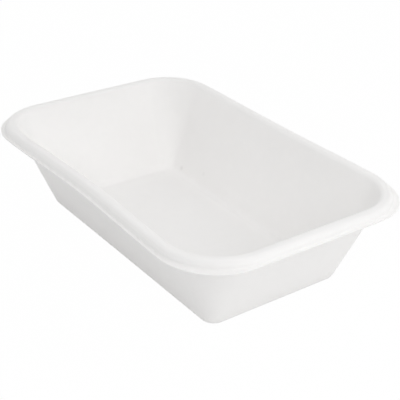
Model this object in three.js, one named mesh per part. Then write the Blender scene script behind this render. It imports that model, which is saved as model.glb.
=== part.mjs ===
// Food tray pressed from one sheet of cellulose pulp: a flat floor, four sloping walls with round
// corners, and a rim rolled over and down to a thin trimmed lip.
// +X runs along the length, +Y across the width, +Z up. The origin is the middle of the underside.
import * as THREE from "three";

// Overall size over the lip, in millimetres
const length = 230;
const width = 150;
const height = 56.5;

// Pulp sheet and the section that it is pressed to
const sheet = 0.75; // thickness of the pressed pulp
const draftAngle = 22.3; // degrees that the walls lean out from upright
const floorFillet = 5; // inside radius where the walls meet the floor
const crownRadius = 3.2; // top radius of the rolled rim
const crownFlat = 1.3; // level stretch along the top of the rim
const skirtDrop = 0.15; // upright stretch below the crown, on its outer side
const lipFillet = 0.9; // inside radius where the skirt turns out into the lip
const lipWidth = 1.9; // how far the trimmed lip stands out from the skirt

// Corner radii in plan
const lipCorner = 33.5; // at the lip's trimmed edge
const baseCorner = 7.2; // where the outside of the walls would meet the table

// How far the middle of each long side leans in at the rim, from drying
const frontLean = 2.4;
const backLean = 1;

// Fineness of the facets
const cornerSteps = 12; // facets round each corner in plan
const sideSteps = 6; // facets along each straight side
const arcStep = 15; // most degrees in one facet of the section

const draft = THREE.MathUtils.degToRad(draftAngle);
const lipUnder = height - crownRadius - skirtDrop - lipFillet - sheet;
const skirtOffset = -lipWidth; // outer face of the skirt
const outerCrown = new THREE.Vector2(skirtOffset - crownRadius, height - crownRadius);
const innerCrown = new THREE.Vector2(outerCrown.x - crownFlat, outerCrown.y);

// Points on an arc of the section, ends included. The angles are in radians from outwards, turning up.
function arc(centre, radius, from, to) {
  const steps = Math.max(1, Math.ceil(Math.abs(to - from) / THREE.MathUtils.degToRad(arcStep)));
  const points = [];
  for (let i = 0; i <= steps; i++) {
    const angle = THREE.MathUtils.lerp(from, to, i / steps);
    points.push(
      new THREE.Vector2(
        centre.x + radius * Math.cos(angle),
        centre.y + radius * Math.sin(angle),
      ),
    );
  }
  return points;
}

// Where a wall face, carried straight down at the draft, meets the level z.
function wallAt(face, z) {
  return face.x - (face.y - z) * Math.tan(draft);
}

// Fillet between a level floor and a wall face, from the floor up.
function floorArc(face, floorZ, radius) {
  const tangent = radius / Math.tan(Math.PI / 4 + draft / 2);
  const centre = new THREE.Vector2(wallAt(face, floorZ) - tangent, floorZ + radius);
  return arc(centre, radius, -Math.PI / 2, -draft);
}

// The inner wall face leaves the crown at this point, and the outer face lies one sheet behind it.
const innerFace = new THREE.Vector2(
  innerCrown.x - crownRadius * Math.cos(draft),
  innerCrown.y + crownRadius * Math.sin(draft),
);
const outerFace = new THREE.Vector2(
  innerFace.x + sheet * Math.cos(draft),
  innerFace.y - sheet * Math.sin(draft),
);

// Underside of the sheet, from the floor's edge to the lip. x is the offset from the lip's edge
// (negative is inwards) and y is the height.
function underSection() {
  const lipCentre = new THREE.Vector2(skirtOffset + lipFillet, lipUnder + sheet + lipFillet);
  return [
    ...floorArc(outerFace, 0, floorFillet + sheet),
    ...arc(innerCrown, crownRadius - sheet, Math.PI - draft, Math.PI / 2),
    ...arc(outerCrown, crownRadius - sheet, Math.PI / 2, 0),
    ...arc(lipCentre, lipFillet + sheet, Math.PI, 1.5 * Math.PI),
    new THREE.Vector2(0, lipUnder),
  ];
}

// Upper side of the sheet, from the lip back to the floor's edge.
function upperSection() {
  const lipCentre = new THREE.Vector2(skirtOffset + lipFillet, lipUnder + sheet + lipFillet);
  return [
    new THREE.Vector2(0, lipUnder + sheet),
    ...arc(lipCentre, lipFillet, 1.5 * Math.PI, Math.PI),
    ...arc(outerCrown, crownRadius, 0, Math.PI / 2),
    ...arc(innerCrown, crownRadius, Math.PI / 2, Math.PI - draft),
    ...floorArc(innerFace, sheet, floorFillet).reverse(),
  ];
}

// Corner radius in plan. The rim's outlines all run parallel to the lip, and below the rim the
// corners close in evenly to the base radius.
const baseOffset = wallAt(outerFace, 0);
const cornerFade = (lipCorner + outerFace.x - baseCorner) / (outerFace.x - baseOffset);

function cornerRadius(offset) {
  if (offset > outerFace.x) return lipCorner + offset;
  return baseCorner + (offset - baseOffset) * cornerFade;
}

// One closed outline of the tray, anticlockwise from above, at an offset from the lip and a height.
function outline({ x: offset, y: z }) {
  const radius = cornerRadius(offset);
  const cornerX = length / 2 + offset - radius;
  const cornerY = width / 2 + offset - radius;
  const sides = [
    { corner: [cornerX, cornerY], inward: [0, -1], lean: backLean },
    { corner: [-cornerX, cornerY], inward: [1, 0], lean: 0 },
    { corner: [-cornerX, -cornerY], inward: [0, 1], lean: frontLean },
    { corner: [cornerX, -cornerY], inward: [-1, 0], lean: 0 },
  ];
  const points = [];
  sides.forEach(({ corner, inward, lean }, i) => {
    for (let step = 0; step <= cornerSteps; step++) {
      const angle = (Math.PI / 2) * (i + step / cornerSteps);
      points.push(
        new THREE.Vector3(
          corner[0] + radius * Math.cos(angle),
          corner[1] + radius * Math.sin(angle),
          z,
        ),
      );
    }
    const next = sides[(i + 1) % sides.length].corner;
    for (let step = 1; step < sideSteps; step++) {
      const along = step / sideSteps;
      const shift = lean * (z / height) * Math.sin(Math.PI * along) ** 2;
      points.push(
        new THREE.Vector3(
          THREE.MathUtils.lerp(corner[0], next[0], along) + inward[0] * (shift - radius),
          THREE.MathUtils.lerp(corner[1], next[1], along) + inward[1] * (shift - radius),
          z,
        ),
      );
    }
  });
  return points;
}

// Closed skin over a stack of outlines, with a flat cap on the first and on the last.
function loft(outlines) {
  const count = outlines[0].length;
  const middle = (points) => new THREE.Vector3(0, 0, points[0].z);
  const vertices = [...outlines.flat(), middle(outlines[0]), middle(outlines.at(-1))];
  const firstMiddle = outlines.length * count;
  const lastMiddle = firstMiddle + 1;
  const lastRing = (outlines.length - 1) * count;
  const faces = [];
  for (let j = 0; j < count; j++) {
    const next = (j + 1) % count;
    faces.push(firstMiddle, next, j);
    faces.push(lastMiddle, lastRing + j, lastRing + next);
    for (let ring = 0; ring < lastRing; ring += count) {
      faces.push(ring + j, ring + next, ring + count + j);
      faces.push(ring + next, ring + count + next, ring + count + j);
    }
  }
  const geometry = new THREE.BufferGeometry().setFromPoints(vertices);
  geometry.setIndex(faces);
  geometry.computeVertexNormals();
  return geometry;
}

const pulp = new THREE.MeshStandardMaterial({ color: 0xf1f0ed, roughness: 0.9, metalness: 0 });

const foodTray = new THREE.Mesh(loft([...underSection(), ...upperSection()].map(outline)), pulp);
foodTray.name = "food_tray";

const tray = new THREE.Group();
tray.add(foodTray);

export default tray;
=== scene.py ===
import math

import bpy
from mathutils import Matrix, Vector


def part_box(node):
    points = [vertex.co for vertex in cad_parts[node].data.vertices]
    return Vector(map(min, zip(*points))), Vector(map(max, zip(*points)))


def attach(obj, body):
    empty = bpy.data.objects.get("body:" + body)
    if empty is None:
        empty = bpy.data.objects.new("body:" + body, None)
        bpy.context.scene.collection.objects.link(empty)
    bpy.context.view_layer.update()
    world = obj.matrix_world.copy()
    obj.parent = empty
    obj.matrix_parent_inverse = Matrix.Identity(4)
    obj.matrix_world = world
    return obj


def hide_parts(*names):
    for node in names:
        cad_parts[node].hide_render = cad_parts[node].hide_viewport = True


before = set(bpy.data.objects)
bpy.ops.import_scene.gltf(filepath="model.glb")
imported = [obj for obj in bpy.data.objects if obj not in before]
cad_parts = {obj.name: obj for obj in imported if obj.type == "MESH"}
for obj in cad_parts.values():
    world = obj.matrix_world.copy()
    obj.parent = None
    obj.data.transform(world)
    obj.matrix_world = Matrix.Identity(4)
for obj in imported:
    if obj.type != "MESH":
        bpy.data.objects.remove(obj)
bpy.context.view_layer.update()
scene = bpy.context.scene


# Camera

camera = {
    "azimuth": 53.391,  # degrees, 0 looks along +Y
    "elevation": 28.162,  # degrees above the table
    "roll": 1.480,  # degrees, anticlockwise
    "distance": 0.57559,  # metres to the point looked at
    "lookHeight": 0.030,  # height of that point over the table
    "right": 0.007636,  # and how far it lies to the right of the tray's middle
    "up": -0.003965,
    "frameWidth": 400,  # pixels
    "focalPixels": 976.22,
    "sensorWidth": 36,  # millimetres
    "nearest": 0.01,  # metres, of what it sees
    "farthest": 50,
}


def placeCamera(c):
    azimuth, elevation, roll = (math.radians(c[key]) for key in ("azimuth", "elevation", "roll"))
    back = Vector((
        math.sin(azimuth) * math.cos(elevation),
        -math.cos(azimuth) * math.cos(elevation),
        math.sin(elevation),
    ))
    right = Vector((math.cos(azimuth), math.sin(azimuth), 0))
    up = back.cross(right)
    place = Vector((0, 0, c["lookHeight"])) + right * c["right"] + up * c["up"] + back * c["distance"]
    level = Matrix((right, up, back)).transposed().to_4x4()
    data = bpy.data.cameras.new("camera")
    data.sensor_width = c["sensorWidth"]
    data.lens = data.sensor_width * c["focalPixels"] / c["frameWidth"]
    data.clip_start = c["nearest"]
    data.clip_end = c["farthest"]
    eye = bpy.data.objects.new("camera", data)
    eye.matrix_world = Matrix.Translation(place) @ level @ Matrix.Rotation(roll, 4, "Z")
    scene.collection.objects.link(eye)
    scene.camera = eye


placeCamera(camera)
print("camera placed")


# Nodes written as Python

class Value:  # an output socket that can be used in sums, which add Math nodes
    def __init__(self, graph, socket):
        self.graph = graph
        self.socket = socket

    def __add__(self, other):
        return self.graph.math("ADD", self, other)

    def __radd__(self, other):
        return self.graph.math("ADD", other, self)

    def __sub__(self, other):
        return self.graph.math("SUBTRACT", self, other)

    def __rsub__(self, other):
        return self.graph.math("SUBTRACT", other, self)

    def __mul__(self, other):
        return self.graph.math("MULTIPLY", self, other)

    def __rmul__(self, other):
        return self.graph.math("MULTIPLY", other, self)

    def __truediv__(self, other):
        return self.graph.math("DIVIDE", self, other)

    def __rtruediv__(self, other):
        return self.graph.math("DIVIDE", other, self)

    def __pow__(self, other):
        return self.graph.math("POWER", self, other)

    def __gt__(self, other):
        return self.graph.math("GREATER_THAN", self, other)


class Graph:  # adds nodes to a tree
    def __init__(self, tree):
        self.tree = tree

    def node(self, kind, settings=None, inputs=None, output=0):
        made = self.tree.nodes.new(kind)
        for name, value in (settings or {}).items():
            setattr(made, name, value)
        for name, value in (inputs or {}).items():
            socket = made.inputs[name]
            if isinstance(value, Value):
                self.tree.links.new(value.socket, socket)
            else:
                socket.default_value = value
        return Value(self, made.outputs[output]) if len(made.outputs) else made

    def math(self, operation, *values, clamp=False):
        settings = {"operation": operation, "use_clamp": clamp}
        return self.node("ShaderNodeMath", settings, dict(enumerate(values)))

    def vector(self, operation, *values, output=0):
        settings = {"operation": operation}
        return self.node("ShaderNodeVectorMath", settings, dict(enumerate(values)), output)

    def scaled(self, vector, amount):
        return self.node("ShaderNodeVectorMath", {"operation": "SCALE"}, {0: vector, "Scale": amount})

    def clamped(self, value):
        return self.math("ADD", value, 0.0, clamp=True)


def emptyGraph(owner):  # of a material or a world
    owner.use_nodes = True
    owner.node_tree.nodes.clear()
    return Graph(owner.node_tree)


# Tray

tray = {
    "sheet": 0.00075,  # thickness of the pressed pulp
    "draft": math.radians(22.3),  # how far the walls lean out from upright
    "floorFillet": 0.005,
    "crownRadius": 0.0032,
    "crownFlat": 0.0013,
    "skirtDrop": 0.00015,
    "lipFillet": 0.0009,
    "lipWidth": 0.0019,
    "trimRounding": 0.0002,  # softness of the trimmed edge
    "lipCorner": 0.0335,
    "baseCorner": 0.0072,
    "cornerSpread": {  # how much rounder the rolled rim is than the trimmed edge, anticlockwise
        "Back Right": 0.0040,
        "Back Left": 0.0,
        "Front Left": 0.0020,
        "Front Right": 0.0046,
    },
    "spreadFade": 4,  # how soon that is lost below the rim
    "frontLean": 0.0024,  # inwards, at the middle of the rim
    "backLean": 0.0010,
    "cornerSteps": 36,  # steps of the mesh round each corner in plan
    "sideSteps": 52,  # along each side
    "wallSteps": 16,  # up each face of a wall
    "floorSteps": 10,  # from the middle of the floor to its fillet
    "arcStep": math.radians(7),  # most that the section turns in one step
    "lipArcStep": math.radians(14),
    "trimArcStep": math.radians(28),
    "weld": 0.000002,  # points closer than this become one
    "unevenness": 0.00012,  # how far drying has moved the sheet
    "unevenSize": 0.045,  # length of those waves
    "seed": 4,
}
(lowX, lowY, lowZ), (highX, highY, highZ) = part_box("food_tray")
trayLength = highX - lowX
trayWidth = highY - lowY
trayHeight = highZ - lowZ


def arcPoints(centre, radius, start, end, step):
    count = max(2, math.ceil(abs(end - start) / step))
    angles = [start + (end - start) * k / count for k in range(count + 1)]
    return [(centre[0] + radius * math.cos(a), centre[1] + radius * math.sin(a), 1) for a in angles]


def between(a, b, count):
    return [tuple(p + (q - p) * k / count for p, q in zip(a, b)) for k in range(1, count)]


# Each point is its offset from the lip's edge, its height and its share of the way out from the
# tray's middle. They run from the middle of the underside round the lip to the middle of the floor.
def sheetSection(t):
    quarter = math.pi / 2
    draft = t["draft"]
    slope = math.tan(draft)
    crownLevel = trayHeight - t["crownRadius"]
    lipUnder = crownLevel - t["skirtDrop"] - t["lipFillet"] - t["sheet"]
    lipTop = lipUnder + t["sheet"]
    lipCentre = (-t["lipWidth"] + t["lipFillet"], lipTop + t["lipFillet"])
    outerCrown = (-t["lipWidth"] - t["crownRadius"], crownLevel)
    innerCrown = (outerCrown[0] - t["crownFlat"], crownLevel)
    innerFace = (
        innerCrown[0] - t["crownRadius"] * math.cos(draft),
        innerCrown[1] + t["crownRadius"] * math.sin(draft),
    )
    outerFace = (
        innerFace[0] + t["sheet"] * math.cos(draft),
        innerFace[1] - t["sheet"] * math.sin(draft),
    )
    trim = t["trimRounding"]
    fine, lipStep, trimStep = t["arcStep"], t["lipArcStep"], t["trimArcStep"]

    def floorArc(face, level, radius):
        tangent = radius / math.tan(math.pi / 4 + draft / 2)
        corner = face[0] - (face[1] - level) * slope
        return arcPoints((corner - tangent, level + radius), radius, -quarter, -draft, fine)

    def wall(lower, upper):
        return lower + between(lower[-1], upper[0], t["wallSteps"]) + upper

    inside = t["crownRadius"] - t["sheet"]
    under = wall(
        floorArc(outerFace, 0, t["floorFillet"] + t["sheet"]),
        arcPoints(innerCrown, inside, math.pi - draft, quarter, fine),
    )
    under += arcPoints(outerCrown, inside, quarter, 0, fine)
    under += arcPoints(lipCentre, t["lipFillet"] + t["sheet"], math.pi, 1.5 * math.pi, lipStep)
    edge = arcPoints((-trim, lipUnder + trim), trim, -quarter, 0, trimStep)
    edge += arcPoints((-trim, lipTop - trim), trim, 0, quarter, trimStep)
    over = arcPoints(lipCentre, t["lipFillet"], 1.5 * math.pi, math.pi, lipStep)
    over += arcPoints(outerCrown, t["crownRadius"], 0, quarter, fine)
    over += wall(
        arcPoints(innerCrown, t["crownRadius"], quarter, math.pi - draft, fine),
        floorArc(innerFace, t["sheet"], t["floorFillet"])[::-1],
    )
    middleUnder = (under[0][0], under[0][1], 0)
    middleOver = (over[-1][0], over[-1][1], 0)
    section = [middleUnder, *between(middleUnder, under[0], t["floorSteps"]), *under, *edge]
    section += [*over, *between(over[-1], middleOver, t["floorSteps"]), middleOver]
    baseOffset = outerFace[0] - outerFace[1] * slope
    return section, outerFace[0], baseOffset


def sectionMesh(name, section):
    mesh = bpy.data.meshes.new(name)
    links = [(k, k + 1) for k in range(len(section) - 1)]
    mesh.from_pydata([(offset, 0, height) for offset, height, _ in section], links, [])
    share = mesh.attributes.new("share", "FLOAT", "POINT")
    share.data.foreach_set("value", [part for _, _, part in section])
    piece = bpy.data.objects.new(name, mesh)
    scene.collection.objects.link(piece)
    return piece


def sizedGraph(name, sizes):  # a Geometry Nodes tree with an input for each size
    tree = bpy.data.node_groups.new(name, "GeometryNodeTree")
    kinds = {int: "NodeSocketInt", float: "NodeSocketFloat", bpy.types.Material: "NodeSocketMaterial"}
    tree.interface.new_socket("Geometry", in_out="INPUT", socket_type="NodeSocketGeometry")
    for size, value in sizes.items():
        tree.interface.new_socket(size, in_out="INPUT", socket_type=kinds[type(value)])
    tree.interface.new_socket("Geometry", in_out="OUTPUT", socket_type="NodeSocketGeometry")
    graph = Graph(tree)
    group = tree.nodes.new("NodeGroupInput")
    return graph, {socket.name: Value(graph, socket) for socket in group.outputs if socket.name}


def isNumber(graph, value, number):  # 1 where the value is this whole number, otherwise 0
    return graph.math("COMPARE", value, float(number), 0.5)


# How much rounder the rim is at this place. Along a side, one corner's spread passes into the next's.
def rimSpread(graph, given, corners, quarter, sidePart):
    wrapped = graph.math("MODULO", quarter, float(len(corners)))
    spread = 0.0
    for number, corner in enumerate(corners):
        here = isNumber(graph, wrapped, number) * (1 - sidePart)
        ahead = isNumber(graph, wrapped, (number - 1) % len(corners)) * sidePart
        spread = spread + given[corner] * (here + ahead)
    return spread


# Corner radius of an outline. The rim's outlines run nearly parallel to the lip, and below it the
# corners close in to the base.
def outlineRadius(graph, given, offset, spread):
    rimPart = graph.clamped(offset / given["Lip Width"] * -1)
    rimRadius = given["Lip Corner"] + offset + spread * rimPart
    wallPart = (offset - given["Base Offset"]) / (given["Wall Top"] - given["Base Offset"])
    topRadius = given["Lip Corner"] + given["Wall Top"]
    wallRadius = given["Base Corner"] + (topRadius - given["Base Corner"]) * wallPart
    wallRadius = wallRadius + spread * graph.math("MAXIMUM", wallPart, 0.0) ** given["Spread Fade"]
    return wallRadius + (rimRadius - wallRadius) * (offset > given["Wall Top"])


# How far a long side leans in, most at its middle and at the rim.
def sideLean(graph, given, quarter, sidePart, level):
    lean = 0.0
    for side, number in (("Back Lean", 0), ("Front Lean", 2)):
        lean = lean + given[side] * isNumber(graph, quarter, number)
    bend = graph.math("SINE", sidePart * math.pi)
    return lean * level * bend * bend


# Drying moves the sheet a little, inwards only and not at the base.
def dried(graph, given, shaped, level):
    seedApart = 3.7  # how far one seed's waves lie from the next one's
    waves = graph.node(
        "ShaderNodeTexNoise",
        {"noise_dimensions": "4D"},
        {
            "Vector": shaped,
            "W": given["Seed"] * seedApart,
            "Scale": 1 / given["Uneven Size"],
            "Detail": 1.0,
            "Roughness": 0.4,
        },
    )
    amount = graph.clamped(waves) * given["Unevenness"] * level
    inward = graph.vector("MULTIPLY", graph.vector("NORMALIZE", shaped), (-1.0, -1.0, -1.0))
    return graph.vector("ADD", shaped, graph.scaled(inward, amount))


def shellTree(sizes, corners):  # carries the section round the tray as closed outlines
    graph, given = sizedGraph("pressedShell", sizes)
    maths = graph.math
    section = given["Geometry"]

    # a grid with one column for each step round the tray and one row for each point of the section
    points = graph.node("GeometryNodeAttributeDomainSize", {"component": "MESH"}, {"Geometry": section})
    quarterSteps = given["Corner Steps"] + given["Side Steps"]
    columns = quarterSteps * 4 + 1
    grid = graph.node("GeometryNodeMeshGrid", inputs={"Vertices X": columns, "Vertices Y": points})
    index = graph.node("GeometryNodeInputIndex")
    row = maths("MODULO", index, points)
    column = maths("FLOOR", (index + 0.5) / points)  # the half keeps it clear of rounding

    def onSection(kind, value):
        inputs = {"Geometry": section, "Value": value, "Index": row}
        return graph.node("GeometryNodeSampleIndex", {"data_type": kind}, inputs)

    place = onSection("FLOAT_VECTOR", graph.node("GeometryNodeInputPosition"))
    offset = graph.node("ShaderNodeSeparateXYZ", inputs={"Vector": place})
    height = graph.node("ShaderNodeSeparateXYZ", inputs={"Vector": place}, output=2)
    named = graph.node("GeometryNodeInputNamedAttribute", {"data_type": "FLOAT"}, {"Name": "share"})
    share = onSection("FLOAT", named)

    # each quarter turn is a corner and then a side
    turn = column / quarterSteps
    quarter = maths("FLOOR", turn)
    step = (turn - quarter) * quarterSteps
    cornerPart = maths("MINIMUM", step / given["Corner Steps"], 1.0)
    sidePart = maths("MAXIMUM", (step - given["Corner Steps"]) / given["Side Steps"], 0.0)
    angle = (quarter + cornerPart) * (math.pi / 2)
    facing = {"x": maths("COSINE", angle), "y": maths("SINE", angle)}

    def cornerSign(operation, turns):
        return maths("SIGN", maths(operation, (quarter + turns) * (math.pi / 2)))

    centre = {}
    for axis, operation in (("x", "COSINE"), ("y", "SINE")):
        here = cornerSign(operation, 0.5)
        onward = cornerSign(operation, 1.5)
        centre[axis] = here + (onward - here) * sidePart

    # the point's place on the outline
    level = height / given["Height"]
    radius = outlineRadius(graph, given, offset, rimSpread(graph, given, corners, quarter, sidePart))
    reach = radius - sideLean(graph, given, quarter, sidePart, level)
    half = {"x": given["Length"] / 2, "y": given["Width"] / 2}
    flat = {axis: centre[axis] * (half[axis] + offset - radius) + facing[axis] * reach for axis in "xy"}
    shaped = graph.node(
        "ShaderNodeCombineXYZ", inputs={"X": flat["x"] * share, "Y": flat["y"] * share, "Z": height}
    )

    moved = {"Geometry": grid, "Position": dried(graph, given, shaped, level)}
    lofted = graph.node("GeometryNodeSetPosition", inputs=moved)
    welded = {"Geometry": lofted, "Distance": given["Weld"]}
    closed = graph.node("GeometryNodeMergeByDistance", inputs=welded)
    smooth = graph.node("GeometryNodeSetShadeSmooth", inputs={"Geometry": closed})
    real = graph.node("GeometryNodeRealizeInstances", inputs={"Geometry": smooth})
    coated = graph.node("GeometryNodeSetMaterial", inputs={"Geometry": real, "Material": given["Material"]})
    graph.node("NodeGroupOutput", inputs={"Geometry": coated})
    return graph.tree


def outwardVolume(mesh):  # negative where the faces point inwards
    mesh.calc_loop_triangles()
    corners = [vertex.co for vertex in mesh.vertices]
    total = 0
    for triangle in mesh.loop_triangles:
        a, b, c = (corners[k] for k in triangle.vertices)
        total += a.dot(b.cross(c)) / 6
    return total


def pressTray(t, material):
    section, wallTop, baseOffset = sheetSection(t)
    sizes = {
        "Length": trayLength,
        "Width": trayWidth,
        "Height": trayHeight,
        "Lip Width": t["lipWidth"],
        "Lip Corner": t["lipCorner"],
        **t["cornerSpread"],
        "Spread Fade": t["spreadFade"],
        "Base Corner": t["baseCorner"],
        "Wall Top": wallTop,
        "Base Offset": baseOffset,
        "Front Lean": t["frontLean"],
        "Back Lean": t["backLean"],
        "Corner Steps": t["cornerSteps"],
        "Side Steps": t["sideSteps"],
        "Weld": t["weld"],
        "Unevenness": t["unevenness"],
        "Uneven Size": t["unevenSize"],
        "Seed": t["seed"],
        "Material": material,
    }
    piece = sectionMesh("pressed_tray", section)
    tree = shellTree(sizes, list(t["cornerSpread"]))
    modifier = piece.modifiers.new("pressedShell", "NODES")
    modifier.node_group = tree
    for item in tree.interface.items_tree:
        if item.in_out == "INPUT" and item.name in sizes:
            modifier[item.identifier] = sizes[item.name]
    depsgraph = bpy.context.evaluated_depsgraph_get()
    mesh = bpy.data.meshes.new_from_object(piece.evaluated_get(depsgraph))
    piece.modifiers.remove(modifier)
    piece.data = mesh
    mesh.name = "pressed_tray"
    if outwardVolume(mesh) < 0:
        mesh.flip_normals()
    return piece


# Pulp

pulp = {
    "tone": (0.934, 0.926, 0.918),
    "roughness": 0.88,
    "roughnessSwing": 0.12,  # between the hollows and the tops of the grain
    "shine": 0.35,  # specular level
    "grainSize": 0.0005,
    "grainDepth": 0.000010,
    "fibreWidth": 0.00022,
    "fibreLength": 0.0030,
    "fibreDepth": 0.000012,
    "fibreGap": 4,  # widths from one fibre to the next
    "fibreSharpness": 14,
    "fibreTone": 0.006,  # how much lighter the top of a fibre is than the sheet between
    "fibreMiddle": 0.4,  # how far up a fibre the tone is the plain one
    "fibreLayers": [  # radians that each layer is turned by, and how far it is moved
        {"turn": (0.3, 0.2, 0.5), "shift": 0.0},
        {"turn": (1.1, 0.7, 1.9), "shift": 0.31},
        {"turn": (0.5, 1.4, 2.8), "shift": 0.67},
    ],
    "cloudSize": 0.006,
    "cloudTone": 0.006,
    "patchSize": 0.035,
    "patchTone": 0.005,
    "noiseSwing": 0.25,  # how far a noise usually strays from its middle
    "specks": [  # bits of bark in the pulp, at the foot of the back wall
        {"at": (-0.0702, 0.0453, 0.0050), "radius": 0.0012, "drop": 0.085},
        {"at": (-0.0475, 0.0471, 0.0095), "radius": 0.0010, "drop": 0.040},
    ],
    "speckCore": 0.6,  # share of the radius that is fully dark, before it fades over a whole radius
}


def pulpMaterial(p):
    material = bpy.data.materials.new("pressedPulp")
    graph = emptyGraph(material)
    place = graph.node("ShaderNodeTexCoord", output=3)

    def noise(vector, size, detail=2.0, rough=0.5):
        return graph.node(
            "ShaderNodeTexNoise",
            {"noise_dimensions": "3D"},
            {"Vector": vector, "Scale": 1 / size, "Detail": detail, "Roughness": rough},
        )

    def fibres(turn, shift):  # short raised hairs that lie one way
        mapping = {"Vector": place, "Rotation": turn, "Location": (shift, shift, shift)}
        laid = graph.node("ShaderNodeMapping", inputs=mapping)
        drawn = graph.vector("MULTIPLY", laid, (p["fibreWidth"] / p["fibreLength"], 1.0, 1.0))
        strands = noise(drawn, p["fibreWidth"] * p["fibreGap"], detail=1.0)
        return graph.clamped(1 - graph.math("ABSOLUTE", strands - 0.5) * p["fibreSharpness"])

    def mottle(size, tone, **look):  # lighter and darker areas, by about the tone either way
        return (noise(place, size, **look) - 0.5) * (tone / p["noiseSwing"])

    hairs = 0.0
    for layer in p["fibreLayers"]:
        hairs = graph.math("MAXIMUM", hairs, fibres(layer["turn"], layer["shift"]))
    grain = noise(place, p["grainSize"], detail=4.0, rough=0.6)
    light = 1 + mottle(p["cloudSize"], p["cloudTone"], detail=3.0, rough=0.6)
    light = light + mottle(p["patchSize"], p["patchTone"])
    light = light + (hairs - p["fibreMiddle"]) * p["fibreTone"]
    for speck in p["specks"]:
        away = graph.vector("DISTANCE", place, speck["at"], output=1)
        dark = graph.clamped(1 + p["speckCore"] - away / speck["radius"])
        light = light * (1 - dark * speck["drop"])
    height = grain * p["grainDepth"] + hairs * p["fibreDepth"]
    relief = graph.node("ShaderNodeBump", inputs={"Strength": 1.0, "Distance": 1.0, "Height": height})
    surface = graph.node(
        "ShaderNodeBsdfPrincipled",
        inputs={
            "Base Color": graph.scaled(p["tone"], light),
            "Roughness": p["roughness"] + (grain - 0.5) * p["roughnessSwing"],
            "Normal": relief,
            "Specular IOR Level": p["shine"],
        },
    )
    graph.node("ShaderNodeOutputMaterial", inputs={"Surface": surface})
    return material


pressedTray = pressTray(tray, pulpMaterial(pulp))
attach(pressedTray, "root")
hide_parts("food_tray")
print("tray pressed:", len(pressedTray.data.vertices), "vertices")


# Floor, backdrop and light

studio = {
    "floorSize": 6,
    "floorTone": 0.97,
    "floorGlow": 0.985,  # how much of the floor that the camera sees is plain white
    "skyLevel": 0.31,
    "lamps": {  # azimuth from +X anticlockwise and elevation in degrees, power in watts, sizes in metres
        "back": {"azimuth": 60, "elevation": 30, "size": 1.4, "distance": 2, "power": 7.1},
        "backLeft": {"azimuth": 135, "elevation": 42, "size": 1.4, "distance": 2, "power": 6.6},
        "left": {"azimuth": 225, "elevation": 15, "size": 1.4, "distance": 2, "power": 7.4},
        "front": {"azimuth": 315, "elevation": 42, "size": 1.4, "distance": 2, "power": 8.4},
        "rightLow": {"azimuth": 0, "elevation": 20, "size": 0.45, "distance": 0.7, "power": 0.54},
        "rightHigh": {"azimuth": 0, "elevation": 42, "size": 0.45, "distance": 0.7, "power": 0.56},
        "top": {"azimuth": 0, "elevation": 90, "size": 0.45, "distance": 0.7, "power": 0.61},
        "leftNear": {"azimuth": 190, "elevation": 30, "size": 0.45, "distance": 0.7, "power": 0.08},
    },
}


def seenAsBackground(graph):
    path = "ShaderNodeLightPath"
    seen = graph.math("MAXIMUM", graph.node(path), graph.node(path, output="Is Glossy Ray"))
    return graph.math("MAXIMUM", seen, graph.node(path, output="Is Transmission Ray"))


def layFloor(s):
    half = s["floorSize"] / 2
    mesh = bpy.data.meshes.new("floor")
    corners = [(-half, -half, 0), (half, -half, 0), (half, half, 0), (-half, half, 0)]
    mesh.from_pydata(corners, [], [(0, 1, 2, 3)])
    floor = bpy.data.objects.new("floor", mesh)
    scene.collection.objects.link(floor)
    material = bpy.data.materials.new("floor")
    graph = emptyGraph(material)
    tone = (s["floorTone"],) * 3 + (1,)
    plain = graph.node("ShaderNodeBsdfDiffuse", inputs={"Color": tone})
    white = graph.node("ShaderNodeEmission", inputs={"Color": (1, 1, 1, 1), "Strength": 1.0})
    share = seenAsBackground(graph) * s["floorGlow"]
    mixed = graph.node("ShaderNodeMixShader", inputs={0: share, 1: plain, 2: white})
    graph.node("ShaderNodeOutputMaterial", inputs={"Surface": mixed})
    mesh.materials.append(material)


def lightSky(s):
    world = bpy.data.worlds.new("studio")
    graph = emptyGraph(world)
    seen = seenAsBackground(graph)
    strength = seen + (1 - seen) * s["skyLevel"]
    sky = graph.node("ShaderNodeBackground", inputs={"Color": (1, 1, 1, 1), "Strength": strength})
    graph.node("ShaderNodeOutputWorld", inputs={"Surface": sky})
    scene.world = world


def hangLamp(name, lamp):
    data = bpy.data.lights.new(name, "AREA")
    data.shape = "SQUARE"
    data.size = lamp["size"]
    data.energy = lamp["power"]
    light = bpy.data.objects.new(name, data)
    azimuth, elevation = math.radians(lamp["azimuth"]), math.radians(lamp["elevation"])
    place = lamp["distance"] * Vector((
        math.cos(azimuth) * math.cos(elevation),
        math.sin(azimuth) * math.cos(elevation),
        math.sin(elevation),
    ))
    aimed = place.to_track_quat("Z", "Y").to_matrix().to_4x4()  # a lamp shines along its own -Z
    light.matrix_world = Matrix.Translation(place) @ aimed
    scene.collection.objects.link(light)


layFloor(studio)
lightSky(studio)
for lampName, lampSizes in studio["lamps"].items():
    hangLamp(lampName, lampSizes)
scene.view_settings.view_transform = "Standard"
print("studio lit")
